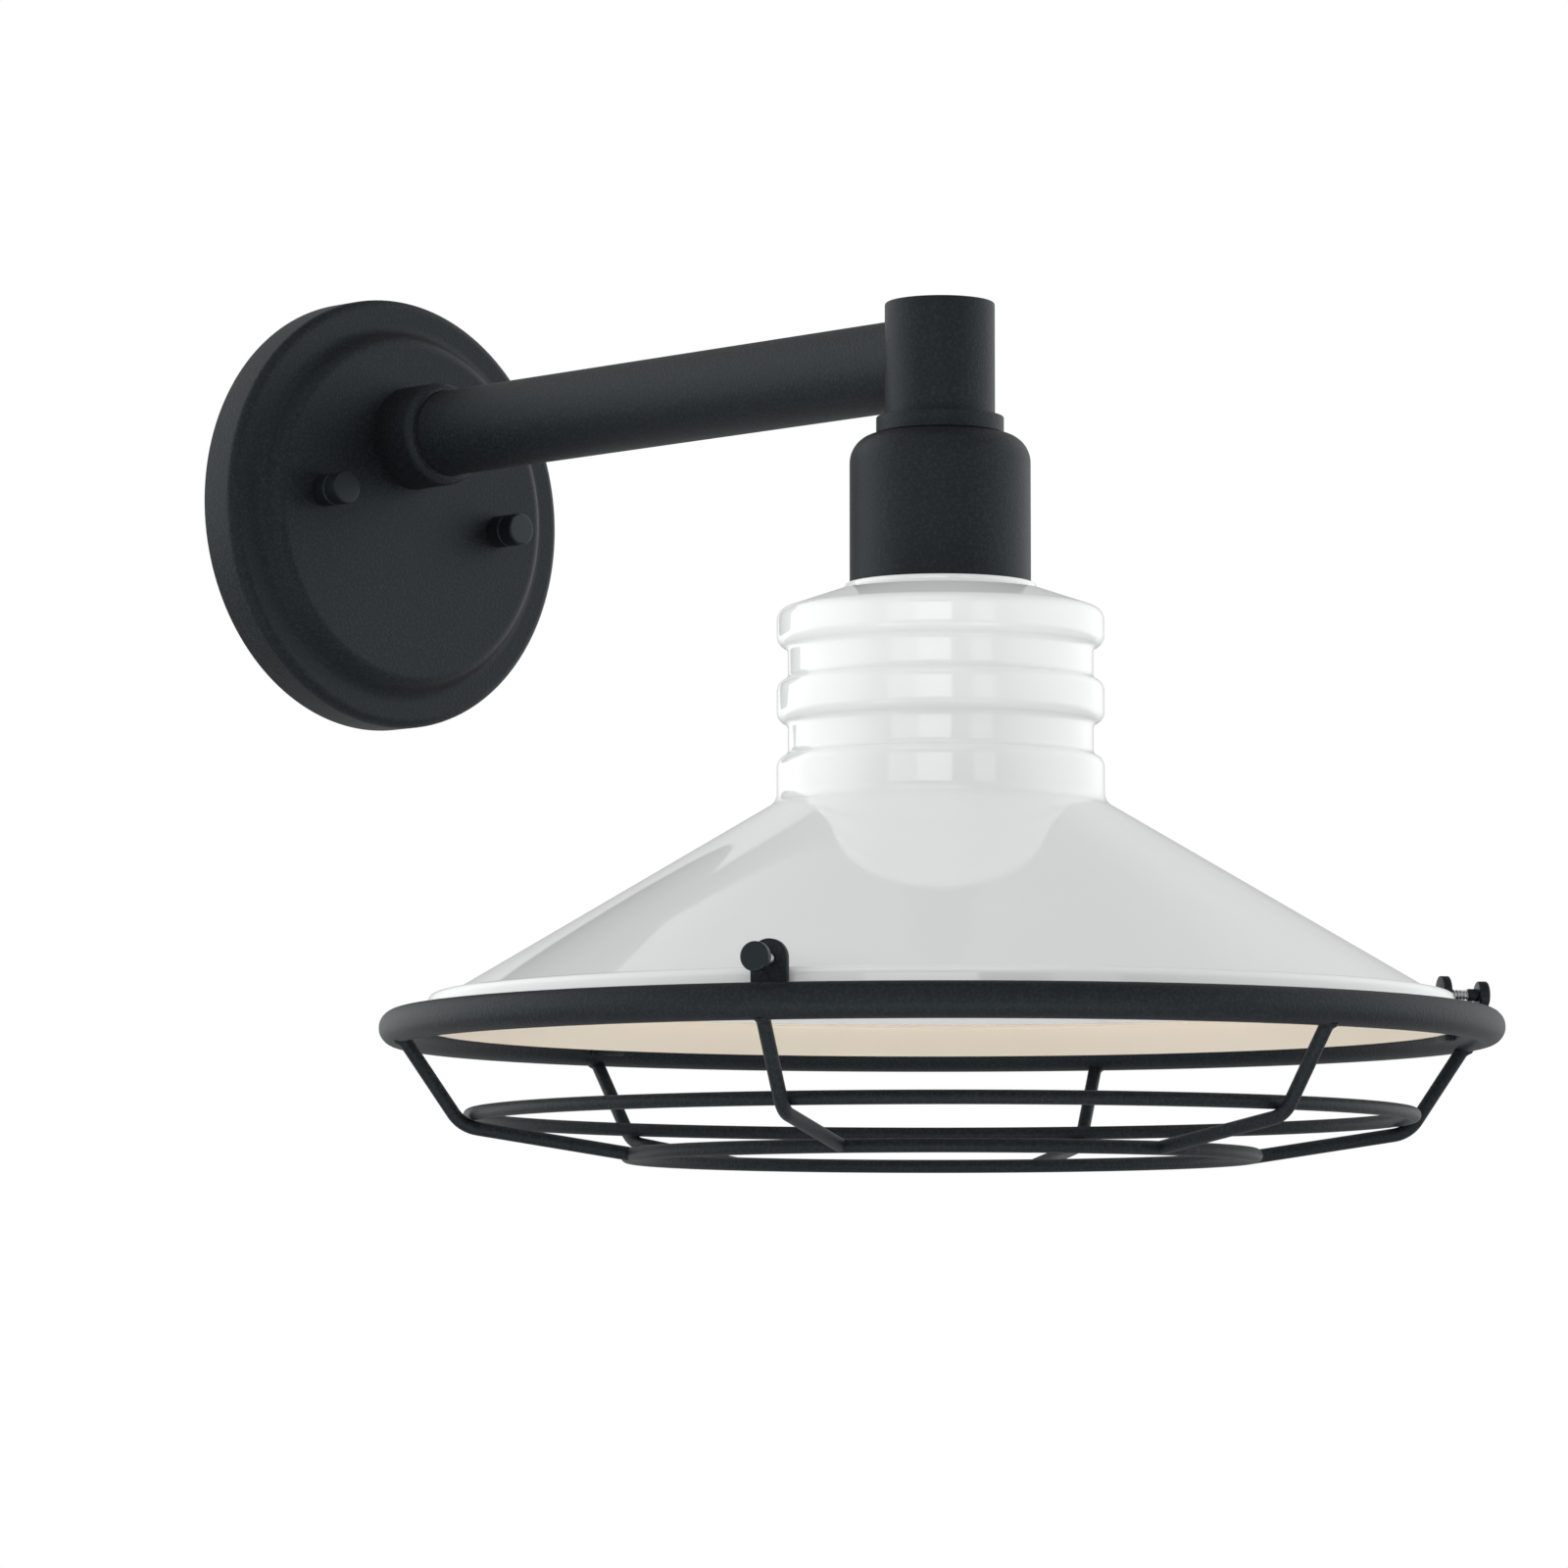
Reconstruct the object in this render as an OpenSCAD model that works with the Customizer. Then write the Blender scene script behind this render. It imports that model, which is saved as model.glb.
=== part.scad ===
// Outdoor barn light with a beaded white shade and a bolt-on wire guard.
// Millimetres, +Z up. The wall is the plane Y = 0, the arm runs along -Y,
// and the origin is the centre of the canopy's back, on the wall.

/* [Overall] */
// Distance from the wall to the shade's axis
reach = 318.6; // [260:0.1:420]
// Height of the arm's axis above the canopy's centre
arm_rise = 29; // [22:0.5:36]

/* [Canopy] */
// Outer diameter of the wall canopy
canopy_d = 170; // [160:1:200]
// Depth of the canopy's rim, from the wall to its flat shoulder
canopy_rim = 17.5; // [16:0.5:30]
// Width of the shoulder between the rim and the raised centre
canopy_shoulder = 15; // [13:0.5:17]
// Height of the raised centre above the shoulder
canopy_step = 8; // [7:0.5:9]
// Thickness of the canopy's casting
canopy_wall = 3; // [2:0.25:3.25]
// Radius of the rim's front corner
canopy_corner = 4; // [3.5:0.25:6]

/* [Canopy fixings] */
// Distance between the two studs
stud_spacing = 91; // [88:0.5:96]
// Angle at which the strap and studs sit off level, seen from the front
strap_turn = 5.4; // [0:0.2:10]
// Diameter of the studs
stud_d = 4.2; // [3.5:0.1:5]
// Diameter of the cap nuts
cap_nut_d = 12.6; // [10:0.2:15]
// Length of the cap nuts
cap_nut_len = 14; // [11:0.5:20]

/* [Mounting strap] */
// Distance from each stud to the end of the strap
strap_end = 9.5; // [7:0.5:13]
// Width of the strap
strap_w = 24; // [20:1:26]
// Thickness of the strap
strap_t = 2.6; // [2:0.2:4]
// Distance between the middles of the two box slots
slot_spacing = 69.85; // [66:0.05:72]
// Width of the box slots
slot_w = 4.6; // [4:0.1:5.4]
// Length of the straight part of each box slot
slot_run = 6; // [3:0.5:7]
// Diameter of the middle hole
strap_hole_d = 10.6; // [8:0.1:14]

/* [Gasket] */
// Width of the foam gasket
gasket_w = 7; // [5:0.5:9]
// Thickness of the foam gasket
gasket_t = 3; // [2:0.5:5]

/* [Arm] */
// Outer diameter of the arm tube
arm_d = 33.4; // [28:0.1:35]
// Wall of the arm tube
arm_wall = 2.8; // [1.5:0.1:4]
// Wall of the collar at the canopy
collar_wall = 3.5; // [2.8:0.1:6]
// Length of the collar
collar_len = 21.5; // [12:0.5:40]
// Depth of the recess between the collar and the arm
collar_recess = 2; // [1:0.5:5]

/* [Hub and neck] */
// How far the hub at the arm's end is wider than the arm, on each side
hub_side = 3.4; // [2:0.1:8]
// How far the hub stands over the arm, above and below
hub_over = 4.3; // [3.5:0.1:12]
// Wall of the hub
hub_wall = 4; // [3:0.25:5]
// Diameter of the washer below the hub
washer_d = 46.6; // [42:0.2:52]
// Thickness of that washer
washer_t = 6.4; // [4:0.2:10]
// Diameter of the threaded nipple
nipple_d = 9.8; // [9:0.1:10.4]
// Bore of the nipple
nipple_bore = 6.6; // [5:0.1:7.4]

/* [Socket cup] */
// Outer diameter of the socket cup
cup_d = 66; // [62:0.5:68]
// Height of the socket cup
cup_h = 54.9; // [50:0.1:70]
// Radius of the cup's shoulder
cup_shoulder = 10.6; // [6:0.2:14]
// Wall of the cup
cup_wall = 1.5; // [1:0.1:2.5]

/* [Shade] */
// Height of the shade, from its seat to the edge of its lip
shade_h = 163; // [155:0.5:190]
// Height of the lip
lip_h = 13.2; // [10:0.2:18]
// Width of the flat step between the cone and the lip
lip_step = 7.8; // [6:0.2:12]
// Radius of the lip's top corner
lip_corner = 3; // [2:0.25:4]
// Distance from the last groove's middle down to the top of the cone
last_bead_h = 22.8; // [19:0.1:30]
// Fillet between the neck and the cone
cone_fillet = 6; // [3:0.5:10]
// Outer diameter of the beads on the neck
bead_d = 119; // [112:0.5:124]
// Depth of the grooves between the beads
bead_depth = 4; // [2.5:0.1:4.5]
// Rounding of the beads
bead_round = 4.3; // [3:0.1:5]
// Rounding at the bottom of the grooves
groove_round = 2.5; // [2:0.1:3]
// Length of the straight floor of each groove
groove_floor = 7.8; // [5:0.1:9]
// Distance from one groove to the next
groove_pitch = 27.7; // [26:0.1:30]
// Distance from the seat down to the first groove's middle
groove_drop = 29.2; // [28:0.1:32]
// Slope of the shoulder between the seat and the first bead
shoulder_slope = 19; // [14:0.5:22]
// Rounding of the shoulder's outer corner
shoulder_round = 4.6; // [3:0.2:6]
// Thickness of the enamelled sheet
shade_wall = 1.2; // [0.8:0.1:1.4]

/* [Lampholder] */
// Bore of the lamp's screw shell
shell_bore = 26.4; // [26:0.1:27]
// Depth of the screw shell
shell_depth = 27; // [24:0.5:30]
// Wall of the screw shell
shell_wall = 0.7; // [0.4:0.1:1]
// Diameter of the porcelain skirt that passes through the shade
skirt_d = 40; // [38:0.2:44]
// Length of the skirt below the shade's seat
skirt_drop = 17; // [14:0.5:22]
// Height of the porcelain body above the seat
porcelain_h = 33; // [30:0.5:36]
// Clearance round the flange that sits on the shade, inside the cup
flange_gap = 4.5; // [2:0.5:6]
// Thickness of that flange
flange_t = 4; // [3:0.5:6]
// Diameter of the ring nut that clamps the shade
ring_nut_d = 56; // [50:0.5:60]
// Height of the ring nut
ring_nut_h = 6; // [4:0.5:9]

/* [Guard] */
// Outer diameter of the guard's top ring
guard_d = 406.4; // [390:0.2:430]
// Diameter of the top ring's tube
guard_tube_d = 12.7; // [10:0.1:13]
// Diameter of the guard's wire
wire_d = 5; // [4:0.05:6]
// Diameter of the middle ring, at the middle of its wire
middle_ring_d = 340.6; // [330:0.2:350]
// Depth of the middle ring below the top ring
middle_ring_drop = 31.5; // [26:0.1:36]
// Diameter of the inner ring, at the middle of its wire
inner_ring_d = 226.8; // [200:0.2:260]
// Depth of the inner ring below the top ring
inner_ring_drop = 45.8; // [42:0.1:50]
// Number of legs
leg_count = 6; // [6]
// How far outside the middle of the top ring's tube each leg's line passes
leg_aim = 2.2; // [0:0.1:3]
// Radius of the legs' bend, at the middle of their wire
leg_bend_r = 13; // [8:0.5:16]
// Where the middle ring sits in the bend, as an angle below level
leg_seat = 68; // [60:1:76]
// Angle of the guard on the lip, from the arm's line
guard_turn = -3; // [-30:1:30]

/* [Guard fixings] */
// Number of tabs and thumbscrews
tab_count = 3; // [3]
// Width of the tabs
tab_w = 13; // [11:0.5:16]
// Thickness of the tabs
tab_t = 3; // [2:0.25:4]
// Clearance between the shade's lip and the tabs
lip_gap = 1.8; // [1:0.1:6]
// Height of the tabs' top above the top ring's middle
tab_top = 21.5; // [19:0.5:24]
// Depth of the tabs' foot below the top ring's middle
tab_foot = 2.5; // [1:0.25:5]
// Diameter of the thumbscrews' thread
screw_d = 4; // [3:0.1:4]
// Distance from the tabs out to the thumbscrews' heads
screw_stand = 10.7; // [7:0.1:15]
// How far the thumbscrews' tips reach over the lip
screw_bite = 4.4; // [3:0.1:5]
// Diameter of the thumbscrews' head
screw_head_d = 10.2; // [8:0.1:12]
// Thickness of the thumbscrews' head
screw_head_t = 4; // [3:0.25:6]

/* [Hidden] */
$fn = 96;
// Overrun of every cut past the face that it opens
over = 1;
// Steps in a full turn of a rounded corner
round_steps = 48;
// Radial clearance of a thread or a close bore
fit = 0.05;
// Clearance of a plain hole round a stud, screw or nipple
hole_gap = 0.4;
// Gap between two pieces that lie against each other and may move
rest_gap = 0.3;
// Gap at a welded or bonded seat between curved faces
weld_gap = 0.1;

// Sizes that follow from the pieces that they fit
strap_len = stud_spacing + 2 * strap_end;
collar_d = arm_d + 2 * collar_wall;
hub_d = arm_d + 2 * hub_side;
hub_h = arm_d + 2 * hub_over;
flange_d = cup_d - 2 * (cup_wall + flange_gap);
lip_d = guard_d - 2 * (guard_tube_d + weld_gap + tab_t + lip_gap);
screw_len = screw_bite + lip_gap + tab_t + weld_gap + screw_stand;

// Heights and places of the main stations
canopy_r = canopy_d / 2;
face_r = canopy_r - canopy_shoulder;
face_out = canopy_rim + canopy_step;
half_step = canopy_step / 2;
arm_r = arm_d / 2;
arm_bore_r = arm_r - arm_wall;
hub_r = hub_d / 2;
hub_low = arm_rise - hub_h / 2;
cup_top = hub_low - washer_t;
seat_z = cup_top - cup_h;
lip_low = seat_z - shade_h;
lip_r = lip_d / 2;
shelf_z = lip_low + lip_h;
screw_r = screw_d / 2;
screw_z = shelf_z + rest_gap + screw_r;

// The guard hangs by its thumbscrews from the lip, which gives its height
screw_above_ring = 14.6;
ring_z = screw_z - screw_above_ring;
ring_r = (guard_d - guard_tube_d) / 2;
ring_inner_r = guard_d / 2 - guard_tube_d;
middle_r = middle_ring_d / 2;
inner_r = inner_ring_d / 2;
wire_r = wire_d / 2;
leg_step = 360 / leg_count;
tab_step = 360 / tab_count;

// Small sizes of the canopy's fixings
arm_tail = 9;
locknut_w = 6.5;
locknut_t = 5;
locknut_notches = 6;
locknut_notch = 5;
locknut_notch_depth = 3;
stud_nut_af = 8.7;
stud_nut_t = 3;
cap_nut_wall = 2.5;
cap_nut_edge = 0.6;
cap_nut_groove = 0.35;
cap_nut_groove_w = 0.7;
cap_nut_groove_share = 0.45;
ground_af = 7;
ground_head = 3;
ground_flange_d = 9.6;
ground_flange_t = 0.8;
ground_d = 4;
ground_share = 0.25;
ledge_t = 2;
collar_edge = 0.8;
collar_recess_w = 1.2;

// Small sizes of the hub, the cup and the lampholder
hub_floor = 9;
hub_edge = 1;
hub_port_step = 0.8;
washer_edge = 0.6;
nipple_above = 2;
nut_af = 16;
nut_t = 5;
nipple_tail = 2.5;
bracket_t = 1.5;
bracket_w = 15;
bracket_gap = 1.9;
bracket_half = cup_d / 2 - cup_shoulder - bracket_gap;
bracket_foot = 10;
bracket_screw_d = 3.4;
bracket_screw_len = 7;
bracket_head_d = 6.4;
bracket_head_t = 2;
porcelain_edge = 1;
contact_d = 7.5;
contact_t = 2.6;
contact_gap = 3;
shell_turn_in = 2.6;
ring_nut_edge = 0.8;
skirt_groove = 0.6;

// Small sizes of the shade
seat_margin_share = 0.9;
seat_r = cup_d / 2 + seat_margin_share * shade_wall;
seat_drop = 1.6;
seat_round = 0.8;

// Small sizes of the thumbscrews
tip_edge = 0.5;
head_edge = 0.6;

// The middle of the legs' bend, as a radius and a depth below the top ring. The middle
// ring lies against the inside of the bend.
bend_in = leg_bend_r - wire_d - weld_gap;
bend_at_r = middle_r - bend_in * cos(leg_seat);
bend_drop = middle_ring_drop - bend_in * sin(leg_seat);

// Lean of the legs' upper run from vertical, and slope of their lower run, each from the
// bend and the ring that it runs to, to a hundredth of a degree. The bend runs a little
// into the straight above it, so that the wire is one solid.
bend_lap = 0.05;
foot_gap_share = 0.2;
angle_grain = 0.01;
upper_span = [ring_r - bend_at_r, bend_drop];
lower_span = [bend_at_r - inner_r, inner_ring_drop - bend_drop];
leg_lean = to_grain(atan2(upper_span[0], upper_span[1])
    - asin((leg_bend_r - leg_aim) / norm(upper_span)));
foot_slope = to_grain(atan2(lower_span[1], lower_span[0])
    - asin(leg_bend_r / norm(lower_span)));

// Points on an arc about [x, y], from angle a0 to angle a1
function arc(x, y, r, a0, a1) =
    let (n = max(2, ceil(abs(a1 - a0) / 360 * round_steps)))
    [for (i = [0:n]) [x + r * cos(a0 + (a1 - a0) * i / n), y + r * sin(a0 + (a1 - a0) * i / n)]];

function reversed(v) = [for (i = [len(v) - 1:-1:0]) v[i]];

function to_grain(a) = round(a / angle_grain) * angle_grain;

// Unit normal on the left of the path v at point i
function left_normal(v, i) =
    let (
        a = v[max(i - 1, 0)],
        b = v[min(i + 1, len(v) - 1)],
        d = b - a
    ) [-d[1], d[0]] / norm(d);

// The path v moved to its left by t
function moved(v, t) = [for (i = [0:len(v) - 1]) v[i] + t * left_normal(v, i)];

// Turns a solid about +Z so that its up direction leaves the wall
module off_wall() {
    rotate([90, 0, 0])
        children();
}

// Moves a solid from the origin to the shade's axis
module on_shade_axis() {
    translate([0, -reach, 0])
        children();
}

// Places a child at each of the two studs
module at_studs() {
    for (side = [-1, 1])
        rotate([0, 0, -strap_turn])
            translate([side * stud_spacing / 2, 0, 0])
                children();
}

module hexagon(af) {
    circle(d = af / cos(30), $fn = 6);
}

// Canopy section: radius against distance off the wall
module canopy_section() {
    foot_r = face_r + half_step;
    crown_r = face_r - half_step;
    mid = canopy_rim + half_step;
    corner_in = canopy_corner - canopy_wall;
    outer = concat(
        [[canopy_r, 0]],
        arc(canopy_r - canopy_corner, canopy_rim - canopy_corner, canopy_corner, 0, 90),
        arc(foot_r, mid, half_step, 270, 180),
        arc(crown_r, mid, half_step, 0, 90),
        [[0, face_out]]
    );
    inner = concat(
        [[canopy_r - canopy_wall, 0]],
        arc(canopy_r - canopy_corner, canopy_rim - canopy_corner, corner_in, 0, 90),
        arc(foot_r, mid, half_step + canopy_wall, 270, 180),
        arc(crown_r, mid, half_step - canopy_wall, 0, 90),
        [[0, face_out - canopy_wall]]
    );
    polygon(concat(outer, reversed(inner)));
}

module wall_canopy() {
    color("#23272b")
        off_wall()
            difference() {
                union() {
                    rotate_extrude()
                        canopy_section();
                    translate([0, 0, gasket_t])
                        difference() {
                            cylinder(r = canopy_r - canopy_wall / 2, h = ledge_t);
                            translate([0, 0, -over])
                                cylinder(r = canopy_r - canopy_wall - gasket_w, h = ledge_t + 2 * over);
                        }
                }
                translate([0, arm_rise, 0])
                    cylinder(r = arm_r + hole_gap / 2, h = face_out + over);
                at_studs()
                    cylinder(d = stud_d + 2 * hole_gap, h = face_out + over);
            }
}

module wall_gasket() {
    color("#3a3a3a")
        off_wall()
            difference() {
                cylinder(r = canopy_r - canopy_wall - weld_gap, h = gasket_t);
                translate([0, 0, -over])
                    cylinder(r = canopy_r - canopy_wall - gasket_w, h = gasket_t + 2 * over);
            }
}

// Slot with round ends along X
module slot_2d(run, w) {
    square([run, w], center = true);
    for (side = [-1, 1])
        translate([side * run / 2, 0])
            circle(d = w);
}

// The strap turns with the studs, and its box slots stay level
module mounting_strap() {
    color("#b3b5b3")
        off_wall()
            rotate([0, 0, -strap_turn])
                linear_extrude(strap_t)
                    difference() {
                        intersection() {
                            square([strap_len, strap_w], center = true);
                            circle(d = strap_len);
                        }
                        circle(d = strap_hole_d);
                        for (side = [-1, 1]) {
                            rotate(strap_turn)
                                translate([side * slot_spacing / 2, 0])
                                    slot_2d(slot_run, slot_w);
                            translate([side * stud_spacing / 2, 0])
                                circle(d = stud_d + 2 * fit);
                        }
                        translate([slot_spacing * ground_share, 0])
                            circle(d = ground_d + 2 * fit);
                    }
}

module strap_studs() {
    color("#c2c4c2")
        off_wall()
            at_studs()
                cylinder(d = stud_d, h = face_out + cap_nut_len - cap_nut_wall - rest_gap);
}

module stud_locknuts() {
    color("#c2c4c2")
        off_wall()
            at_studs()
                translate([0, 0, strap_t])
                    linear_extrude(stud_nut_t)
                        difference() {
                            hexagon(stud_nut_af);
                            circle(d = stud_d + 2 * fit);
                        }
}

module ground_screw() {
    color("#2e7d46")
        off_wall()
            rotate([0, 0, -strap_turn])
                translate([slot_spacing * ground_share, 0, 0]) {
                    cylinder(d = ground_d, h = strap_t);
                    translate([0, 0, strap_t])
                        cylinder(d = ground_flange_d, h = ground_flange_t);
                    translate([0, 0, strap_t + ground_flange_t])
                        linear_extrude(ground_head)
                            hexagon(ground_af);
                }
}

// Blind nut that closes each stud: open end at the canopy's face
module cap_nut() {
    groove_at = cap_nut_len * cap_nut_groove_share;
    r = cap_nut_d / 2;
    difference() {
        rotate_extrude()
            polygon([
                [0, 0],
                [r, 0],
                [r, groove_at],
                [r - cap_nut_groove, groove_at + cap_nut_groove],
                [r - cap_nut_groove, groove_at + cap_nut_groove_w],
                [r, groove_at + cap_nut_groove_w + cap_nut_groove],
                [r, cap_nut_len - cap_nut_edge],
                [r - cap_nut_edge, cap_nut_len],
                [0, cap_nut_len]
            ]);
        translate([0, 0, -over])
            cylinder(d = stud_d + 2 * fit, h = cap_nut_len - cap_nut_wall + over);
    }
}

module cap_nut_at(side) {
    color("#1f2226")
        off_wall()
            rotate([0, 0, -strap_turn])
                translate([side * stud_spacing / 2, 0, face_out])
                    cap_nut();
}

module arm_collar() {
    r = collar_d / 2;
    bore = arm_r + fit;
    color("#23272b")
        off_wall()
            translate([0, arm_rise, face_out])
                rotate_extrude()
                    polygon([
                        [bore, 0],
                        [r, 0],
                        [r, collar_len - collar_edge],
                        [r - collar_edge, collar_len],
                        [bore + collar_recess_w, collar_len],
                        [bore + collar_recess_w, collar_len - collar_recess],
                        [bore, collar_len - collar_recess]
                    ]);
}

module arm_tube() {
    color("#23272b")
        difference() {
            translate([0, 0, arm_rise])
                off_wall()
                    translate([0, 0, arm_tail])
                        difference() {
                            cylinder(r = arm_r, h = reach - arm_tail);
                            translate([0, 0, -over])
                                cylinder(r = arm_bore_r, h = reach - arm_tail + 2 * over);
                        }
            on_shade_axis()
                translate([0, 0, hub_low - over])
                    cylinder(r = hub_r, h = hub_h + 2 * over);
        }
}

module arm_locknut() {
    r = arm_r + locknut_w;
    color("#b3b5b3")
        off_wall()
            translate([0, arm_rise, face_out - canopy_wall - locknut_t])
                linear_extrude(locknut_t)
                    difference() {
                        circle(r = r);
                        circle(r = arm_r + fit);
                        for (k = [1:locknut_notches])
                            rotate(k * 360 / locknut_notches)
                                translate([r, 0])
                                    square([2 * locknut_notch_depth, locknut_notch], center = true);
                    }
}

module arm_hub() {
    color("#23272b")
        on_shade_axis()
            difference() {
                translate([0, 0, hub_low])
                    rotate_extrude()
                        polygon(concat(
                            [[0, 0], [hub_r, 0]],
                            arc(hub_r - hub_edge, hub_h - hub_edge, hub_edge, 0, 90),
                            [[0, hub_h]]
                        ));
                translate([0, 0, hub_low + hub_floor])
                    cylinder(r = hub_r - hub_wall, h = hub_h - hub_floor - hub_wall);
                translate([0, 0, hub_low - over])
                    cylinder(d = nipple_d + 2 * fit, h = hub_floor + 2 * over);
                translate([0, 0, arm_rise])
                    rotate([-90, 0, 0])
                        cylinder(r = hub_h / 2 - hub_floor - hub_port_step, h = hub_r + over);
            }
}

module neck_washer() {
    r = washer_d / 2;
    color("#23272b")
        on_shade_axis()
            translate([0, 0, cup_top])
                difference() {
                    rotate_extrude()
                        polygon([
                            [0, 0],
                            [r - washer_edge, 0],
                            [r, washer_edge],
                            [r, washer_t - washer_edge],
                            [r - washer_edge, washer_t],
                            [0, washer_t]
                        ]);
                    translate([0, 0, -over])
                        cylinder(d = nipple_d + 2 * hole_gap, h = washer_t + 2 * over);
                }
}

module hub_nipple() {
    top = hub_low + hub_floor + nipple_above;
    low = cup_top - cup_wall - bracket_t - nut_t - nipple_tail;
    color("#c2c4c2")
        on_shade_axis()
            translate([0, 0, low])
                difference() {
                    cylinder(d = nipple_d, h = top - low);
                    translate([0, 0, -over])
                        cylinder(d = nipple_bore, h = top - low + 2 * over);
                }
}

module socket_cup() {
    r = cup_d / 2;
    outer = concat(
        [[r, 0]],
        arc(r - cup_shoulder, cup_h - cup_shoulder, cup_shoulder, 0, 90),
        [[nipple_d / 2 + hole_gap, cup_h]]
    );
    inner = concat(
        [[r - cup_wall, 0]],
        arc(r - cup_shoulder, cup_h - cup_shoulder, cup_shoulder - cup_wall, 0, 90),
        [[nipple_d / 2 + hole_gap, cup_h - cup_wall]]
    );
    color("#23272b")
        on_shade_axis()
            translate([0, 0, seat_z])
                rotate_extrude()
                    polygon(concat(outer, reversed(inner)));
}

module nipple_locknut() {
    color("#c2c4c2")
        on_shade_axis()
            translate([0, 0, cup_top - cup_wall - bracket_t - nut_t])
                linear_extrude(nut_t)
                    difference() {
                        hexagon(nut_af);
                        circle(d = nipple_d + 2 * fit);
                    }
}

// Bent strap that carries the lampholder under the nipple's locknut
module socket_bracket() {
    top = cup_top - cup_wall;
    low = seat_z + porcelain_h;
    color("#b3b5b3")
        on_shade_axis()
            difference() {
                union() {
                    translate([-bracket_half, -bracket_w / 2, top - bracket_t])
                        cube([2 * bracket_half, bracket_w, bracket_t]);
                    for (side = [-1, 1])
                        mirror([side < 0 ? 1 : 0, 0, 0]) {
                            translate([bracket_half - bracket_t, -bracket_w / 2, low])
                                cube([bracket_t, bracket_w, top - low]);
                            translate([bracket_half - bracket_foot, -bracket_w / 2, low])
                                cube([bracket_foot, bracket_w, bracket_t]);
                        }
                }
                translate([0, 0, top - bracket_t - over])
                    cylinder(d = nipple_d + 2 * hole_gap, h = bracket_t + 2 * over);
                at_bracket_screws()
                    translate([0, 0, low - over])
                        cylinder(d = bracket_screw_d + 2 * fit, h = bracket_t + 2 * over);
            }
}

module at_bracket_screws() {
    for (side = [-1, 1])
        translate([side * (bracket_half - bracket_foot / 2 - bracket_t / 2), 0, 0])
            children();
}

module bracket_screws() {
    face = seat_z + porcelain_h + bracket_t;
    color("#c2c4c2")
        on_shade_axis()
            at_bracket_screws()
                translate([0, 0, face]) {
                    translate([0, 0, -bracket_screw_len])
                        cylinder(d = bracket_screw_d, h = bracket_screw_len);
                    cylinder(d = bracket_head_d, h = bracket_head_t);
                }
}

module lampholder_body() {
    cavity_r = shell_bore / 2 + shell_wall + fit;
    cavity_h = shell_depth + contact_gap;
    body_r = skirt_d / 2 + skirt_groove;
    color("#efece2")
        on_shade_axis()
            difference() {
                translate([0, 0, seat_z])
                    rotate_extrude()
                        polygon([
                            [0, -skirt_drop],
                            [skirt_d / 2 - porcelain_edge, -skirt_drop],
                            [skirt_d / 2, porcelain_edge - skirt_drop],
                            [skirt_d / 2, 0],
                            [flange_d / 2, 0],
                            [flange_d / 2, flange_t - porcelain_edge],
                            [flange_d / 2 - porcelain_edge, flange_t],
                            [body_r, flange_t],
                            [body_r, porcelain_h - porcelain_edge],
                            [body_r - porcelain_edge, porcelain_h],
                            [0, porcelain_h]
                        ]);
                translate([0, 0, seat_z - skirt_drop - over])
                    cylinder(r = cavity_r, h = cavity_h + over);
                at_bracket_screws()
                    translate([0, 0, seat_z + porcelain_h - bracket_screw_len - rest_gap])
                        cylinder(d = bracket_screw_d + 2 * fit, h = bracket_screw_len + rest_gap + over);
            }
}

// Screw shell, open below, with a turned-in edge round the contact
module lampholder_shell() {
    r = shell_bore / 2;
    color("#c39a4a")
        on_shade_axis()
            translate([0, 0, seat_z - skirt_drop])
                rotate_extrude()
                    polygon([
                        [r, shell_wall],
                        [r + shell_wall, shell_wall],
                        [r + shell_wall, shell_depth + shell_wall],
                        [r - shell_turn_in, shell_depth + shell_wall],
                        [r - shell_turn_in, shell_depth],
                        [r, shell_depth]
                    ]);
}

module lampholder_contact() {
    top = seat_z - skirt_drop + shell_depth + contact_gap;
    color("#c39a4a")
        on_shade_axis()
            translate([0, 0, top - contact_t])
                rotate_extrude()
                    polygon([
                        [0, 0],
                        [contact_d / 4, 0],
                        [contact_d / 2, contact_t / 2],
                        [contact_d / 2, contact_t],
                        [0, contact_t]
                    ]);
}

// Angle of the flank where a bead's rounding meets the groove's
flank = acos(1 - bead_depth / (bead_round + groove_round));
flank_h = (bead_round + groove_round) * sin(flank);

// One groove about the height z, walked downward on the neck's outside
function groove_path(z) =
    let (
        out = bead_d / 2,
        floor_r = out - bead_depth,
        half = groove_floor / 2
    )
    concat(
        arc(out - bead_round, z + half + flank_h, bead_round, 0, -flank),
        arc(floor_r + groove_round, z + half, groove_round, 180 - flank, 180),
        arc(floor_r + groove_round, z - half, groove_round, 180, 180 + flank),
        arc(out - bead_round, z - half - flank_h, bead_round, flank, 0)
    );

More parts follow.
